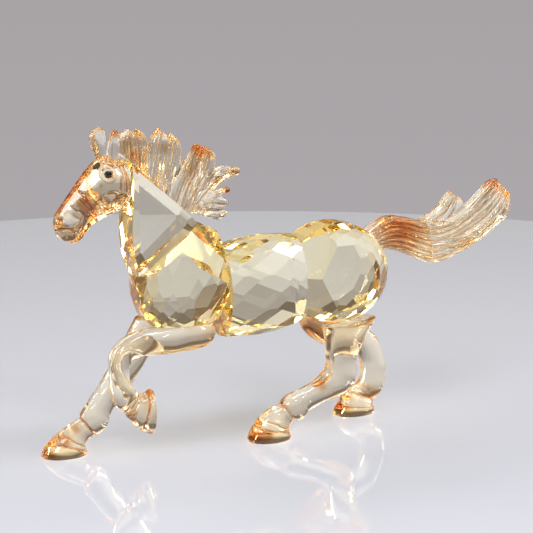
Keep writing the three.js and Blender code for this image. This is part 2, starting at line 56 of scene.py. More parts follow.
def direction(azimuth, elevation):
    """The way from the horse to someone who looks at it. Azimuth 0 looks at its left side."""
    a, e = math.radians(azimuth), math.radians(elevation)
    return Vector((math.sin(a) * math.cos(e), -math.cos(a) * math.cos(e), math.sin(e)))


def aimed(name, data, way, distance):
    """A camera or a lamp that faces the horse from that way."""
    obj = bpy.data.objects.new(name, data)
    obj.location = AIM + way * distance
    obj.rotation_euler = way.to_track_quat("Z", "Y").to_euler()
    bpy.context.collection.objects.link(obj)
    return obj


# ---- Camera ----
CAMERA_DISTANCE = 0.7
SENSOR_WIDTH = 36
FOCAL_LENGTH = 1750 / 533  # in image widths

camera_data = bpy.data.cameras.new("camera")
camera_data.sensor_width = SENSOR_WIDTH
camera_data.lens = SENSOR_WIDTH * FOCAL_LENGTH
bpy.context.scene.camera = aimed("camera", camera_data, direction(-25, 13), CAMERA_DISTANCE)


# ---- Materials ----
STONE_IOR, CAST_IOR, FILM_IOR, JET_IOR = 1.57, 1.53, 1.5, 1.6


def socket(shader, **values):
    """Sets a shader's own values. An underscore stands for a space."""
    for name, value in values.items():
        shader.inputs[name.replace("_", " ")].default_value = value


def glass(name, ior, density, absorb):
    """Clear glass that takes the colour absorb in its depth."""
    material = bpy.data.materials.new(name)
    material.use_nodes = True
    tree = material.node_tree
    shader = tree.nodes["Principled BSDF"]
    socket(shader, Base_Color=(1, 1, 1, 1), Roughness=0.0, IOR=ior, Transmission_Weight=1.0)
    volume = tree.nodes.new("ShaderNodeVolumeAbsorption")
    socket(volume, Color=(*absorb, 1), Density=density)
    tree.links.new(volume.outputs[0], tree.nodes["Material Output"].inputs["Volume"])
    return material


def link_ramp(tree, source, stops, target):
    """Colours target by a value between 0 and 1. Each stop is a value and its colour."""
    ramp = tree.nodes.new("ShaderNodeValToRGB")
    while len(ramp.color_ramp.elements) < len(stops):
        ramp.color_ramp.elements.new(0.5)
    for element, (position, colour) in zip(ramp.color_ramp.elements, stops):
        element.position = position
        element.color = (*colour, 1)
    tree.links.new(source, ramp.inputs[0])
    tree.links.new(ramp.outputs[0], target)


def tint(material, source, stops):
    """Colours a glass by a value between 0 and 1."""
    tree = material.node_tree
    link_ramp(tree, source, stops, tree.nodes["Principled BSDF"].inputs["Base Color"])


def cut_stone_glass(name, stops):
    """Clear where a facet faces sideways, and golden on the facets round the rim."""
    material = glass(name, STONE_IOR, 14, (1, 0.86, 0.28))
    tree = material.node_tree
    geometry = tree.nodes.new("ShaderNodeNewGeometry")
    split = tree.nodes.new("ShaderNodeSeparateXYZ")
    sideways = tree.nodes.new("ShaderNodeMath")
    sideways.operation = "ABSOLUTE"
    tree.links.new(geometry.outputs["True Normal"], split.inputs[0])
    tree.links.new(split.outputs["Y"], sideways.inputs[0])
    tint(material, sideways.outputs[0], stops)
    return material


def cast_glass_with_amber_and_shade(name, density, absorb):
    """Cast glass. The mesh says where it takes an amber tint: rims and tips take the glass's amber, and
    grooves take a darker amber painted as shade.
    """
    material = glass(name, CAST_IOR, density, absorb)
    amber_and_groove_shade = material.node_tree.nodes.new("ShaderNodeAttribute")
    amber_and_groove_shade.attribute_name = "amber_and_groove_shade"
    # Grooves and creases reach far along this ramp, towards its near black red: that darkening is painted
    # shade.
    stops = [(0, (1, 1, 1)), (0.25, (0.88, 0.7, 0.46)), (0.6, (0.68, 0.24, 0.06)), (1, (0.34, 0.05, 0.012))]
    tint(material, amber_and_groove_shade.outputs["Fac"], stops)
    return material


GOLD, STRAW, CLEAR = (1, 0.77, 0.34), (1, 0.9, 0.62), (1, 1, 1)
HONEY = (1, 0.82, 0.42)
cut_glass = cut_stone_glass("cut_glass", [(0, GOLD), (0.45, HONEY), (0.74, STRAW), (0.92, CLEAR)])
drum_glass = cut_stone_glass("drum_glass", [(0, GOLD), (0.4, STRAW), (0.8, CLEAR)])
cast_glass = cast_glass_with_amber_and_shade("cast_glass", 38, (1, 0.79, 0.28))
hair_glass = cast_glass_with_amber_and_shade("hair_glass", 44, (1, 0.8, 0.32))
film = glass("film", FILM_IOR, 1, (0.9, 0.9, 0.9))

jet = bpy.data.materials.new("jet")
jet.use_nodes = True
jet_shader = jet.node_tree.nodes["Principled BSDF"]
socket(jet_shader, Base_Color=(0.004, 0.004, 0.005, 1), Roughness=0.04, IOR=JET_IOR)


def paint(obj, material):
    obj.data.materials.clear()
    obj.data.materials.append(material)


# ---- Shapes ----
HALF_GAP = 0.15  # from a joint's plane to the glass
SMOOTHING = 3  # passes over a melted skin
POLE = 0.05  # how far from a ball's poles its end rings are, in radians


def along(rows, count):
    """count points on a smooth curve through the rows, all columns together."""
    rows = np.array(rows, float)
    padded = np.vstack([2 * rows[0] - rows[1], rows, 2 * rows[-1] - rows[-2]])
    t = np.linspace(0, len(rows) - 1, count)
    i = np.minimum(t.astype(int), len(rows) - 2)
    f = (t - i)[:, None]
    p0, p1, p2, p3 = padded[i], padded[i + 1], padded[i + 2], padded[i + 3]
    square = (2 * p0 - 5 * p1 + 4 * p2 - p3) * f**2
    cube = (3 * p1 - p0 - 3 * p2 + p3) * f**3
    return 0.5 * (2 * p1 + (p2 - p0) * f + square + cube)


def loft(sections, sides, count, profile):
    """A closed skin over sections, as count rings, or one for each section if count is None.

    A section is [x, y, z, lean, long, wide]: its centre, the angle of its long axis above +X, and its half
    sizes along that axis and across the horse. profile(angle, t) gives the two shares of the half sizes.
    """
    rows = along(sections, count) if count else sections
    count = len(rows)
    angle = np.linspace(0, 2 * np.pi, sides, endpoint=False)
    points, faces = [], []
    for k, (x, y, z, lean, long, wide) in enumerate(rows):
        u, v = profile(angle, k / (count - 1))
        a = math.radians(lean)
        points.append(np.stack([x + long * u * math.cos(a), y + wide * v, z + long * u * math.sin(a)], 1))
    for k in range(count - 1):
        for i in range(sides):
            j = (i + 1) % sides
            faces.append((k * sides + i, k * sides + j, (k + 1) * sides + j, (k + 1) * sides + i))
    faces.append(tuple(reversed(range(sides))))
    faces.append(tuple((count - 1) * sides + i for i in range(sides)))
    return np.vstack(points), faces


def ball(centre, radius, squash=(1, 1, 1), rings=12, sides=24):
    x, y, z = centre
    along_x, along_y, along_z = (radius * share for share in squash)
    rows = [
        [x, y, z + along_z * math.cos(a), 0, along_x * math.sin(a), along_y * math.sin(a)]
        for a in np.linspace(POLE, math.pi - POLE, rings)
    ]
    return loft(rows, sides, rings, lambda angle, t: (np.cos(angle), np.sin(angle)))


def melted(name, skins, voxel):
    """One closed skin round several overlapping ones, in drawing coordinates. Returns the mesh."""
    bm = bmesh.new()
    for points, faces in skins:
        verts = [bm.verts.new(p) for p in points]
        for face in faces:
            bm.faces.new([verts[i] for i in face])
        bm.normal_update()
    bmesh.ops.recalc_face_normals(bm, faces=bm.faces)
    rough = bpy.data.meshes.new(name)
    bm.to_mesh(rough)
    bm.free()
    obj = bpy.data.objects.new(name + "_rough", rough)
    bpy.context.collection.objects.link(obj)
    remesh = obj.modifiers.new("melt", "REMESH")
    remesh.mode = "VOXEL"
    remesh.voxel_size = voxel
    soften = obj.modifiers.new("soften", "SMOOTH")
    soften.factor = 0.5
    soften.iterations = SMOOTHING
    graph = bpy.context.evaluated_depsgraph_get()
    mesh = bpy.data.meshes.new_from_object(obj.evaluated_get(graph))
    mesh.name = name
    bpy.data.objects.remove(obj)
    bpy.data.meshes.remove(rough)
    return mesh


def coordinates(mesh):
    """The places and the normals of a mesh's points."""
    co = np.empty(len(mesh.vertices) * 3)
    mesh.vertices.foreach_get("co", co)
    normal = np.empty(len(mesh.vertices) * 3)
    mesh.vertex_normals.foreach_get("vector", normal)
    return co.reshape(-1, 3), normal.reshape(-1, 3)


def move_to(mesh, co):
    mesh.vertices.foreach_set("co", co.ravel())
    mesh.update()


def cut_flat(mesh, cuts):
    """Cuts the skin flat. Each cut is (x, z, angle), and what lies ahead of its normal goes."""
    bm = bmesh.new()
    bm.from_mesh(mesh)
    for face in bm.faces:
        face.smooth = True
    for x, z, angle in cuts:
        normal = Vector((math.cos(math.radians(angle)), 0, math.sin(math.radians(angle))))
        everything = bm.verts[:] + bm.edges[:] + bm.faces[:]
        bmesh.ops.bisect_plane(
            bm, geom=everything, dist=1e-4, plane_co=(x, 0, z), plane_no=normal, clear_outer=True
        )
        rim = [e for e in bm.edges if e.is_boundary]
        filled = bmesh.ops.triangle_fill(bm, use_beauty=True, edges=rim, normal=normal)
        for edge in rim:
            edge.smooth = False
        for element in filled["geom"]:
            if isinstance(element, bmesh.types.BMFace):
                element.smooth = False
    bm.to_mesh(mesh)
    bm.free()


def hollows(mesh, passes=2):
    """How far each point lies below its neighbours, in millimetres. Ridges come out negative."""
    co, normal = coordinates(mesh)
    edges = np.empty(len(mesh.edges) * 2, int)
    mesh.edges.foreach_get("vertices", edges)
    a, b = edges.reshape(-1, 2).T
    count = np.bincount(np.concatenate([a, b]), minlength=len(co))[:, None]

    def mean(values):
        total = np.zeros_like(values)
        np.add.at(total, a, values[b])
        np.add.at(total, b, values[a])
        return total / count

    smooth = co
    for _ in range(passes * 4):
        smooth = mean(smooth)
    depth = ((smooth - co) * normal).sum(1)
    for _ in range(passes):
        depth = mean(depth[:, None])[:, 0]
    return depth


def settle(mesh, name, material, slot_name, amber_and_groove_shade, *replaced):
    """Makes a piece of a finished skin, moved to the row frame. Its tint at each point is given as a
    number: the glass's amber, plus shade painted into its grooves.
    """
    attribute = mesh.attributes.new("amber_and_groove_shade", "FLOAT", "POINT")
    attribute.data.foreach_set("value", np.clip(amber_and_groove_shade, 0, 1).astype(np.float32))
    co, _ = coordinates(mesh)
    move_to(mesh, (co - ORIGIN) * MM)
    piece = bpy.data.objects.new(name, mesh)
    bpy.context.collection.objects.link(piece)
    paint(piece, material)
    piece.visible_shadow = False  # thin clear glass hardly shades what it stands on
    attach(piece, "root")
    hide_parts(*replaced)
    return piece


def behind(x, z, angle):
    """A cut that leaves half the bond gap before a joint's plane."""
    a = math.radians(angle)
    return x - HALF_GAP * math.cos(a), z - HALF_GAP * math.sin(a), angle


def glow(co, spots):
    """A sum of soft round spots, each (x, z, radius, strength), seen from the side."""
    total = np.zeros(len(co))
    for x, z, radius, strength in spots:
        total += strength * np.exp(-((co[:, 0] - x) ** 2 + (co[:, 2] - z) ** 2) / radius**2)
    return total


# ---- Hair ----
FINE_GROOVES = 6  # round one strand
GROOVE_DEPTH = 0.09
GROOVE_TWIST = 1.5  # how far the grooves turn from root to tip, in radians
HAIR_VOXEL = 0.22
STRAND_SIDES = 56
STRAND_OVERLAP = 1.28  # strands lie this much wider than their share of a lock, and melt together
LEAST_HALF = 0.85  # the least half size of a strand
SHORTER = 0.27  # every second strand ends this share of the lock's last stretch sooner
TIP_TAPER = 0.75
THINNING = 0.3  # a strand loses this share of its thickness from root to tip
SWAYS = (-0.5, 0.6)  # how far the strands stand to one side and the other in turn
DEEP_GROOVE = 0.12  # a groove this deep has its full painted shade


def strand_profile(phase):
    def profile(angle, t):
        valley = (1 - np.abs(np.sin(FINE_GROOVES * angle / 2 + phase + GROOVE_TWIST * t))) ** 2
        reach = 1 - GROOVE_DEPTH * valley
        return reach * np.cos(angle), reach * np.sin(angle)

    return profile


def rounded_tip(rows, count=70):
    """Sections along a strand, whose end closes as a ball."""
    rows = along(rows, count * 3)
    steps = np.linalg.norm(np.diff(rows[:, :3], axis=0), axis=1)
    run = np.concatenate([[0], np.cumsum(steps)])
    left = run[-1] - run
    radius = max(rows[-1, 4], rows[-1, 5])
    inside = np.clip(1 - left / radius, 0, 0.995)
    rows[:, 4:] *= np.sqrt(1 - inside**2)[:, None]
    return rows[::3] if (len(rows) - 1) % 3 == 0 else np.vstack([rows[::3], rows[-1]])


def strand(near, far, strands, i, wide, y, wave):
    """The sections of a lock's i-th strand."""
    last = len(near) - 1
    share = (i + 0.5) / strands
    rows = []
    for k in range(last + 1):
        across = far[k] - near[k]
        place = near[k] + across * share
        if k == last and i % 2:
            place = place + (near[k - 1] + (far[k - 1] - near[k - 1]) * share - place) * SHORTER
        lean = math.degrees(math.atan2(-across[1], -across[0]))
        if rows:
            lean += 360 * round((rows[-1][3] - lean) / 360)
        sway = SWAYS[i % 2] * min(1, k / 2) + wave * math.sin(2.1 * k + i)
        taper = TIP_TAPER if k == last else 1
        half_long = np.hypot(*across) / (2 * strands) * STRAND_OVERLAP * taper
        half_wide = wide * taper * (1 - THINNING * k / last)
        half_sizes = [max(half_long, LEAST_HALF), max(half_wide, LEAST_HALF)]
        rows.append([place[0], y + sway, place[1], lean, *half_sizes])
    return rows


def lock(edges, strands, wide, y=0.0, wave=0.0):
    """Strands that fan out between two edges, each a list of [x, z] points from root to tip.

    wide and y are the lock's half thickness and middle across the horse, and wave is how far it sways.
    """
    near, far = [np.array(edge, float) for edge in edges]
    rows = [strand(near, far, strands, i, wide, y, wave) for i in range(strands)]
    return [loft(rounded_tip(r), STRAND_SIDES, None, strand_profile(0.7 * i)) for i, r in enumerate(rows)]


def tuft(name, locks, cuts, spots, groove_shade, extra=(), clear=None):
    """A piece of hair, cut flat at its bond and beside its neighbours. Its spots are amber, and its grooves
    are painted a darker amber as shade.
    """
    skins = [skin for args in locks for skin in lock(**args)] + list(extra)
    mesh = melted(name, skins, HAIR_VOXEL)
    cut_flat(mesh, cuts)
    if clear:
        clear(mesh)
    co, _ = coordinates(mesh)
    spot = glow(co, spots)
    # Grooves are painted darker amber as their shade, more so under the spots.
    amber_and_groove_shade = spot + np.clip(hollows(mesh) / DEEP_GROOVE, 0, 1) * (groove_shade + 0.8 * spot)
    return settle(mesh, name, hair_glass, "hair_crystal", amber_and_groove_shade, name.replace("_hair", "_casting"))


NECK_CREST = behind(-47.6, 104.3, 46.5 + 180)
POLL_BACK, POLL_TOP = -59.7, 117.2


def over_head(mesh):
    """Keeps the forelock above and behind the corner of the head's poll."""
    co, _ = coordinates(mesh)
    ahead, below = POLL_BACK - co[:, 0], POLL_TOP - co[:, 2]
    inside = (ahead > 0) & (below > 0)
    co[inside & (ahead < below), 0] = POLL_BACK
    co[inside & (ahead >= below), 2] = POLL_TOP
    move_to(mesh, co)


tuft(
    "poll_mane_hair",
    [
        dict(edges=([[-58, 109.5], [-61.5, 115.6], [-63, 120.5], [-62.6, 125], [-59.6, 128]],
                    [[-51.8, 105], [-52, 112], [-51.9, 119], [-52.6, 124.6], [-55, 127.8]]),
             strands=3, wide=4.6, wave=0.5),
    ],
    [NECK_CREST, (-52, 108, 0)],
    [(-58, 127, 3, 0.3), (-60, 121, 3, 0.3), (-57, 117, 3, 0.35), (-53, 124, 2.2, 0.3)],
    0.5,
    clear=over_head,
)
tuft(
    "crest_mane_hair",
    [
        dict(edges=([[-53.2, 104], [-51.8, 114], [-51.2, 119.6], [-50, 124.2], [-47.8, 127.8]],
                    [[-46.6, 98], [-45, 109.4], [-44.2, 116], [-43.2, 122], [-44.2, 127.2]]),
             strands=2, wide=3.6, y=-1, wave=0.4),
        dict(edges=([[-46.8, 99], [-45, 110.4], [-43.8, 117], [-42.8, 122.4], [-41.9, 125.2]],
                    [[-41.8, 95], [-38, 108.6], [-37, 115], [-37.4, 120.2], [-39.2, 124.6]]),
             strands=2, wide=3.4, y=1, wave=0.4),
    ],
    [NECK_CREST, (-51.7, 108, 180), (-42.4, 105, -35)],
    [(-45.4, 127.5, 2.2, 0.6), (-45.6, 120, 1.8, 0.35), (-38.4, 121.6, 1.6, 0.4)],
    0.45,
)
tuft(
    "withers_mane_hair",
    [
        dict(edges=([[-44, 95], [-40.6, 106.6], [-38.4, 112.4],
                     [-37.2, 117.2], [-34, 119.8], [-30.8, 120.4]],
                    [[-37.4, 90], [-30.6, 101.8], [-26, 107.6],
                     [-23.8, 112.6], [-24.6, 116.8], [-27.4, 119.4]]),
             strands=4, wide=3.8, y=-0.6, wave=0.5),
        dict(edges=([[-39, 93], [-33, 101.6], [-26.6, 107.6],
                     [-21.4, 110.6], [-17.4, 110.4], [-15.6, 109.8]],
                    [[-36, 90], [-28.8, 97.2], [-23.4, 103],
                     [-19.6, 105.4], [-17, 106.6], [-15.4, 107.2]]),
             strands=3, wide=3.4, y=0.5, wave=0.3),
        dict(edges=([[-36.4, 92], [-28.6, 99.4], [-22.8, 101.8], [-19.6, 102.6]],
                    [[-35, 90], [-27.4, 95], [-22.2, 98.4], [-19.4, 100.4]]),
             strands=2, wide=3.2, y=-1, wave=0.3),
        dict(edges=([[-36, 93], [-28, 98.2], [-22.4, 99], [-17.8, 97]],
                    [[-35, 88.4], [-28.4, 91.6], [-23, 90.4], [-18.8, 91.8]]),
             strands=3, wide=3.2, y=-0.4, wave=0.3),
    ],
    [NECK_CREST, (-42, 105, 145), (-30, 92.6, -109)],
    [(-29.4, 118.4, 3.4, 0.75), (-33.6, 119.4, 2.4, 0.4), (-14.6, 108.5, 2.2, 0.4),
     (-18.6, 101.5, 1.8, 0.9), (-35, 112, 3, 0.3), (-22, 105.5, 1.6, 0.4)],
    0.42,
    [ball((-14.5, 0.5, 108.5), 1.8), ball((-18.8, -1, 101.5), 1.3)],
)
tuft(
    "tail_hair",
    [
        dict(edges=([[43, 79.4], [52.5, 84.4], [60.5, 83.8], [68, 81.8], [75.5, 80.6],
                     [83, 82.2], [91, 86.6], [97, 91.4], [100.4, 95], [104.6, 97]],
                    [[44, 71.6], [53, 71.2], [60, 69.2], [67.5, 65.6], [75, 63.8],
                     [83.5, 66.2], [92.4, 69.8], [102.4, 75.4], [109.2, 81.6], [110.9, 90.6]]),
             strands=7, wide=5, wave=0.35),
        dict(edges=([[68, 81], [76.4, 85.4], [80.2, 90], [82, 93.2]],
                    [[73, 75], [82, 82], [86, 88], [85.6, 92.6]]),
             strands=2, wide=3.6, y=1.2),
        dict(edges=([[76, 81], [83.4, 86.4], [86.6, 90.8]], [[82, 76], [88.4, 83.6], [89.8, 88.6]]),
             strands=1, wide=3, y=1.6),
        dict(edges=([[72, 73], [83, 73.6], [92, 75.6], [97.6, 75]],
                    [[72, 66], [83, 67.4], [92, 69.6], [98.6, 72]]),
             strands=2, wide=3.2, y=-2),
    ],
    [behind(45.3, 76.7, 40 + 180)],
    [(54, 82, 4.5, 0.45), (60, 80.6, 4.5, 0.55), (66, 78, 4.5, 0.4), (56, 76, 4.5, 0.3), (62, 72.4, 4, 0.3),
     (83.5, 93, 2.4, 0.55), (88.6, 90.6, 1.8, 0.6), (105, 97.4, 3.4, 0.8), (100, 95.6, 2.6, 0.7),
     (109.6, 94, 2.4, 0.6), (80, 88, 2.4, 0.3), (90, 71, 3, 0.25)],
    0.55,
)


# ---- Head ----
HEAD_VOXEL = 0.25
SHARPNESS = 16  # of the edges between the head's flats
EAR_HOLLOW, EAR_HOLLOW_WIDTH = 4.1, 0.75  # round an ear's section, in radians
EAR_HOLLOW_DEPTH = 0.55
EYE = (-69.3, 112.2)
SOCKET_RADIUS, SOCKET_WALL, SOCKET_FLOOR = 1.7, 0.2, 5.5


def head_profile(angle, t):
    """Flat on the nose and the cheeks with a broad bevel between them, and narrower at the jaw."""
    u, v = np.abs(np.cos(angle)), np.abs(np.sin(angle))
    bevel = (u + 0.95 * v) / 1.36
    reach = (u**SHARPNESS + v**SHARPNESS + bevel**SHARPNESS) ** (-1 / SHARPNESS)
    narrowing = np.where(np.cos(angle) > 0, 0.14, 0.36)
    return reach * np.cos(angle), reach * np.sin(angle) * (1 - narrowing * (reach * u) ** 2)


def ear_profile(angle, t):
    """A leaf with a hollow on its outer front side."""
    off = (angle - EAR_HOLLOW + np.pi) % (2 * np.pi) - np.pi
    opening = math.sin(math.pi * min(1, 0.25 + t)) ** 0.5
    hollow = EAR_HOLLOW_DEPTH * np.exp(-((off / EAR_HOLLOW_WIDTH) ** 2)) * opening
    return np.cos(angle) * (1 - hollow), np.sin(angle) * (1 - hollow)


def mirrored(skin):
    points, faces = skin
    return points * (1, -1, 1), [tuple(reversed(f)) for f in faces]


head = [
    [-58, 0, 106.0, 82, 8.4, 6.2],
    [-60, 0, 106.2, 84, 8.8, 6.4],
    [-63.6, 0, 106.6, 88, 9.8, 7.2],
    [-67.6, 0, 106.8, 91, 11.2, 7.5],
    [-71.4, 0, 105.3, 95, 11.2, 7.2],
    [-74.9, 0, 102.6, 103, 9.7, 6.1],
    [-77.9, 0, 99.5, 113, 8.2, 5.2],
    [-80.6, 0, 96.2, 123, 7.5, 4.7],
    [-82.7, 0, 93.3, 130, 7.2, 4.7],
    [-84.4, 0, 91, 134, 6.4, 4.7],
    [-85.9, 0, 89.3, 135, 4.6, 4],
    [-86.8, 0, 88.5, 135, 2.6, 2.6],
]
near_ear = [
    [-66.6, -3.4, 114.6, 5, 2.6, 2.5],
    [-66.8, -4.1, 119, 2, 2.5, 2.4],
    [-66.5, -4.3, 123, 0, 2.3, 2.2],
    [-66.1, -4.5, 126.4, -4, 1.7, 1.5],
    [-65.8, -4.7, 128.6, -8, 0.6, 0.6],
]
far_ear = [
    [-68.2, -3.4, 114.6, 8, 2.6, 2.6],
    [-68.9, -4.1, 119.2, 4, 2.8, 2.5],
    [-69.7, -4.4, 123.2, 0, 3.7, 2.2],
    [-69.4, -4.6, 126.4, -6, 3, 1.6],
    [-68.8, -4.8, 128.6, -10, 0.9, 0.7],
]
jaw_boss = ball((-64.6, 0, 100.6), 2.7, (1, 2.55, 1))
skins = [
    loft(head, 160, 90, head_profile),
    loft(near_ear, 48, 40, ear_profile),
    mirrored(loft(far_ear, 48, 40, ear_profile)),
    jaw_boss,
]
mesh = melted("head_glass", skins, HEAD_VOXEL)
co, normal = coordinates(mesh)
x, y, z = co[:, 0], np.abs(co[:, 1]), co[:, 2]


def swell(cx, cz, radius, height, least_y=2.0):
    """Raises, or with a negative height sinks, a round spot on both cheeks."""
    d = np.hypot(x - cx, z - cz) / radius
    return np.where((y > least_y) & (d < 3), height * np.exp(-d * d), 0)


def ringed(cx, cz, radius, width, height, least_y=3.0):
    """Raises or sinks a ring on both cheeks."""
    d = (np.hypot(x - cx, z - cz) - radius) / width
    return np.where(y > least_y, height * np.exp(-d * d), 0)


def line(points, width, height, least_y=1.5):
    """Raises or sinks a line on both cheeks."""
    best = np.full(len(x), 1e9)
    for (ax, az), (bx, bz) in zip(points, points[1:]):
        dx, dz = bx - ax, bz - az
        t = np.clip(((x - ax) * dx + (z - az) * dz) / (dx * dx + dz * dz), 0, 1)
        best = np.minimum(best, np.hypot(x - ax - t * dx, z - az - t * dz))
    return np.where(y > least_y, height * np.exp(-((best / width) ** 2)), 0)


def crinkle(k):
    """The k-th crease over the cheekbone, counted from the nose."""
    top = (-79.8 + 0.9 * k, 106 - 0.4 * k)
    middle = (-76.6 + 0.9 * k, 101.4 - 0.1 * k)
    bottom = (-73.6 + 1.1 * k, 96.6 + 0.4 * k)
    return line([top, middle, bottom], 0.35, -0.26, 2.5)


lift = (
    ringed(EYE[0] - 0.2, EYE[1], 2.5, 0.4, 0.3)
    + swell(-87.2, 96.0, 2.2, 0.7, 1.0)
    + swell(-87.4, 95.8, 1.0, -1.5, 1.0)
    + line([(-90, 91.3), (-87, 92.4), (-84, 92.2), (-81.6, 90.8)], 0.55, -0.75, 0.8)
    + swell(-85.3, 89.2, 1.9, 0.5, 0.5)
    + line([(-72, 104), (-76, 99.6), (-79.6, 95.6)], 1.5, -0.6, 2.5)
    + sum(crinkle(k) for k in range(4))
    + line([(-80.4, 99), (-78, 96.4), (-79.4, 92.6), (-82.6, 90.4)], 0.6, -0.3, 2)
    + line([(-67.6, 97.3), (-71, 100.4), (-73.2, 104.5), (-72.6, 108)], 1.1, -0.45, 3)
    + ringed(-64.6, 100.6, 3.2, 0.6, -0.5)
    + line([(-62.4, 98), (-62.2, 106), (-62.4, 114.5)], 0.7, -0.45, 2)
)
co = co + normal * lift[:, None]
from_eye = np.hypot(co[:, 0] - EYE[0], co[:, 2] - EYE[1])
sunk = np.clip((SOCKET_RADIUS - from_eye) / SOCKET_WALL, 0, 1)
depth = np.abs(co[:, 1])
socket_y = np.sign(co[:, 1]) * (depth * (1 - sunk) + SOCKET_FLOOR * sunk)
co[:, 1] = np.where(depth > SOCKET_FLOOR, socket_y, co[:, 1])
move_to(mesh, co)
cut_flat(mesh, [behind(-60.2, 106, -2)])
co, _ = coordinates(mesh)
nose = [(-87.2, 99.6, 3, 1.2), (-84, 104.6, 3, 1.2), (-80.8, 109.6, 3, 1.2), (-77, 114.6, 3, 0.9)]
bridge = glow(co, nose)
bridge *= np.exp(-((co[:, 1] / 3.2) ** 2))
lips = [(-83.6, 86, 3, 0.7), (-88.6, 93, 2.4, 0.4)]
ears = [(-65.8, 128, 2, 0.8), (-69, 128.6, 2, 0.4), (-72.4, 120, 2, 0.5)]
cheekbone = [
    (-77.8, 102.8, 2.2, 0.5),
    (-75.4, 99.2, 2.4, 0.6),
    (-75, 95.4, 2.4, 0.5),
    (-79, 90.4, 2.4, 0.4),
]
# Hollows and creases are painted dark amber as shade; the nose bridge, lips, ears and cheekbone take the
# glass's amber.
amber_and_groove_shade = np.clip(hollows(mesh, 1) / 0.05, 0, 1) * 0.75 + bridge + glow(co, lips + ears + cheekbone)
settle(mesh, "head_glass", cast_glass, "cast_crystal", amber_and_groove_shade, "head_casting")


# ---- Legs ----
DETAIL = 3  # how often a leg's faces are halved
CREASE = math.radians(50)  # an edge sharper than this stays crisp
FLATNESS, SQUARENESS = math.radians(40), math.radians(60)  # limits for making a square of two triangles
SOLE_MARGIN, PAD_MARGIN = 0.8, 1.5  # the detail fades out over these heights, at the sole and at the pad
RIPPLE = 0.12
BASE_AMBER = 0.02


def smooth_skin(node):
    """A fine copy of a cast CAD node, in drawing coordinates, with a smooth skin and crisp pads."""
    mesh = nodes[node].data.copy()
    bm = bmesh.new()
    bm.from_mesh(mesh)
    bmesh.ops.remove_doubles(bm, verts=bm.verts, dist=1e-6)
    bmesh.ops.join_triangles(
        bm, faces=bm.faces, angle_face_threshold=FLATNESS, angle_shape_threshold=SQUARENESS
    )
    crease = bm.edges.layers.float.get("crease_edge") or bm.edges.layers.float.new("crease_edge")
    for edge in bm.edges:
        if edge.calc_face_angle(0) > CREASE:
            edge[crease] = 1.0
            edge.smooth = False
    for face in bm.faces:
        face.smooth = True
    bm.to_mesh(mesh)
    bm.free()
    obj = bpy.data.objects.new(node + "_fine", mesh)
    bpy.context.collection.objects.link(obj)
    subdivide = obj.modifiers.new("smooth", "SUBSURF")
    subdivide.levels = subdivide.render_levels = DETAIL
    fine = bpy.data.meshes.new_from_object(obj.evaluated_get(bpy.context.evaluated_depsgraph_get()))
    bpy.data.objects.remove(obj)
    bpy.data.meshes.remove(mesh)
    co, _ = coordinates(fine)
    move_to(fine, co / MM + ORIGIN)
    return fine


def band(co, x, z, angle, width, reach=12.0):
    """1 on a plane across a leg, fading over width. angle is the way the plane's normal points."""
    a = math.radians(angle)
    dx, dz = co[:, 0] - x, co[:, 2] - z
    off = dx * math.cos(a) + dz * math.sin(a)
    side = -dx * math.sin(a) + dz * math.cos(a)
    return np.exp(-((off / width) ** 2)) * (np.abs(side) < reach)


def cast_leg(node, grooves, bumps, spots):
    """grooves are (x, z, angle, width, depth, amber), where amber is shade painted along the groove, and
    bumps are (x, z, radius, height).
    """
    mesh = smooth_skin(node)
    co, normal = coordinates(mesh)
    above_sole, below_pad = co[:, 2] - co[:, 2].min(), co[:, 2].max() - co[:, 2]
    free = np.clip(above_sole / SOLE_MARGIN, 0, 1) * np.clip(below_pad / PAD_MARGIN, 0, 1)
    lift = glow(co, bumps)
    amber_and_groove_shade = BASE_AMBER + glow(co, spots)
    for x, z, angle, width, depth, colour in grooves:
        lift -= depth * band(co, x, z, angle, width)
        # Along each groove an amber tint is painted as its shade.
        amber_and_groove_shade += colour * band(co, x, z, angle, width * 0.8)
    lengthwise = np.sin(co[:, 0] * 0.42 + 1.3 * np.sin(co[:, 2] * 0.3))
    ripple = lengthwise * np.sin(co[:, 2] * 0.4 + co[:, 1] * 0.6)
    co = co + normal * ((lift + RIPPLE * ripple) * free)[:, None]
    move_to(mesh, co)
    name = node.replace("_casting", "_glass")
    return settle(mesh, name, cast_glass, "cast_crystal", amber_and_groove_shade, node)


cast_leg(
    "left_foreleg_casting",
    [(-62.6, 22.6, 322, 0.9, 0.7, 0.3), (-58, 19.4, 347, 0.45, 0.45, 0.9)],
    [(-70.2, 41, 3, 0.5), (-69.3, 27, 2.8, 0.4), (-67.6, 22.6, 2.2, 0.5)],
    [(-54.4, 28, 2.4, 0.9), (-54.6, 9.6, 2.4, 0.9), (-53.6, 18, 2, 0.5), (-40, 53, 2.4, 0.3),
     (-30, 47, 4, 0.25), (-47, 41, 2.4, 0.2)],
)
cast_leg(
    "right_foreleg_casting",
    [(-75.6, 10.2, 34, 0.6, 0.7, 0.8), (-82.2, 3.6, 68, 0.45, 0.3, 0.7)],
    [(-70, 20.5, 3, 0.3), (-68.4, 10.2, 3, 0.6), (-61.5, 32, 5, 0.3)],
    [(-86, 7, 2.4, 0.8), (-92, 1.8, 2.6, 0.8), (-75, 4.4, 1.6, 0.7), (-81, 11, 2.2, 0.6)],
)
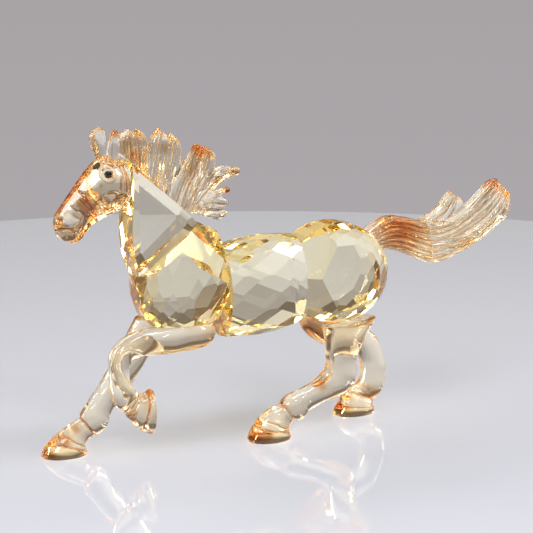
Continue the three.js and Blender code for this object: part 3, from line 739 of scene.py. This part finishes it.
cast_leg(
    "left_hind_leg_casting",
    [(3.4, 10.4, 34, 0.8, 0.5, 0.25), (-2.4, 4.2, 74, 0.5, 0.3, 0.6), (31.4, 43.9, 90, 0.5, 0.25, 0.1)],
    [(33.6, 21.2, 3.4, 0.6), (9.4, 8, 2.6, 0.9), (24, 25.6, 4, -0.3), (5.2, 15.2, 2.8, 0.3)],
    [(-11, 2.4, 2.6, 1), (-7, 3.4, 2, 0.8), (9.6, 7, 1.8, 0.9), (17.6, 20.4, 2.2, 0.6), (0.5, 14, 2.2, 0.4),
     (5, 5, 1.6, 0.5)],
)
cast_leg(
    "right_hind_leg_casting",
    [(46.6, 7.4, 66, 0.7, 0.6, 0.5), (43.8, 3.6, 84, 0.5, 0.25, 0.45)],
    [(56.6, 19, 3.4, 0.7), (46.2, 17.4, 3, 0.4), (52.6, 34, 3.4, 0.4)],
    [(20, 40, 6, 0.75), (27, 36, 4, 0.4), (52, 7.4, 2, 0.7), (36, 4, 3, 0.7), (53.6, 34, 2, 0.4)],
)

for stone in ("neck_stone", "chest_stone", "rump_stone"):
    paint(nodes[stone], cut_glass)
paint(nodes["barrel_stone"], drum_glass)
for node in nodes:
    if node.endswith("_bond"):
        paint(nodes[node], film)
    elif node.endswith("eye_bead"):
        paint(nodes[node], jet)


# ---- Floor, backdrop and light ----
FLOOR_RADIUS = 0.46
FLOOR_DROP = 0.00005  # below the soles, so that the two don't share a plane
BOUNCES = 24  # light goes round many times inside a cut stone

table = bpy.data.materials.new("table")
table.use_nodes = True
table_shader = table.node_tree.nodes["Principled BSDF"]
socket(table_shader, Base_Color=(0.54, 0.57, 0.655, 1), Roughness=0.035, IOR=1.65)

bm = bmesh.new()
bmesh.ops.create_circle(bm, cap_ends=True, segments=128, radius=FLOOR_RADIUS)
floor_mesh = bpy.data.meshes.new("floor")
bm.to_mesh(floor_mesh)
bm.free()
floor = bpy.data.objects.new("floor", floor_mesh)
floor.location = (AIM.x, AIM.y, -FLOOR_DROP)
bpy.context.collection.objects.link(floor)
paint(floor, table)


def softbox(name, azimuth, elevation, distance, size_x, size_y, radiance, colour=(1, 1, 1)):
    """A lamp that stands where someone would look at the horse from that azimuth and elevation."""
    light = bpy.data.lights.new(name, "AREA")
    light.shape = "RECTANGLE"
    light.size, light.size_y = size_x, size_y
    light.energy = radiance * math.pi * size_x * size_y
    light.color = colour
    aimed(name, light, direction(azimuth, elevation), distance).visible_camera = False


softbox("key", -56, 38, 1.2, 0.36, 0.42, 11)
softbox("top", 10, 76, 1.2, 0.6, 0.34, 8)
softbox("right", 60, 50, 1.2, 0.3, 0.4, 9)
softbox("back", 195, 44, 1.3, 0.8, 0.2, 7, (1, 0.93, 0.8))
softbox("glint", 12, 42, 1.4, 0.12, 0.12, 36)
softbox("glint_left", -112, 24, 1.4, 0.14, 0.4, 16)
softbox("glint_right", 112, 22, 1.4, 0.14, 0.36, 16, (1, 0.9, 0.7))

world = bpy.data.worlds.new("studio")
world.use_nodes = True
bpy.context.scene.world = world
tree = world.node_tree
where = tree.nodes.new("ShaderNodeTexCoord")
split = tree.nodes.new("ShaderNodeSeparateXYZ")
level = tree.nodes.new("ShaderNodeMapRange")
level.inputs["From Min"].default_value = -1
tree.links.new(where.outputs["Generated"], split.inputs[0])
tree.links.new(split.outputs["Z"], level.inputs["Value"])
# 0 is straight down, 0.5 is the horizon and 1 straight up. The wall is one even grey to a little above eye
# level. Over it come a dark band, a bright one, a dark one and a bright ceiling, which the glass needs to
# look crisp.
FLOOR_GLOW = (0.75, 0.76, 0.8)
WARM_BAND = (1.0, 0.95, 0.84)
stops = [
    (0.0, FLOOR_GLOW),
    (0.34, FLOOR_GLOW),
    (0.38, (0.42, 0.4, 0.415)),
    (0.52, (0.37, 0.345, 0.355)),
    (0.58, (0.12, 0.085, 0.05)),
    (0.67, (0.2, 0.14, 0.075)),
    (0.73, WARM_BAND),
    (0.8, WARM_BAND),
    (0.87, (0.12, 0.1, 0.08)),
    (1.0, (0.9, 0.9, 0.92)),
]
link_ramp(tree, level.outputs["Result"], stops, tree.nodes["Background"].inputs["Color"])

scene = bpy.context.scene
scene.view_settings.view_transform = "Standard"
scene.cycles.max_bounces = BOUNCES
scene.cycles.glossy_bounces = BOUNCES
scene.cycles.transmission_bounces = BOUNCES
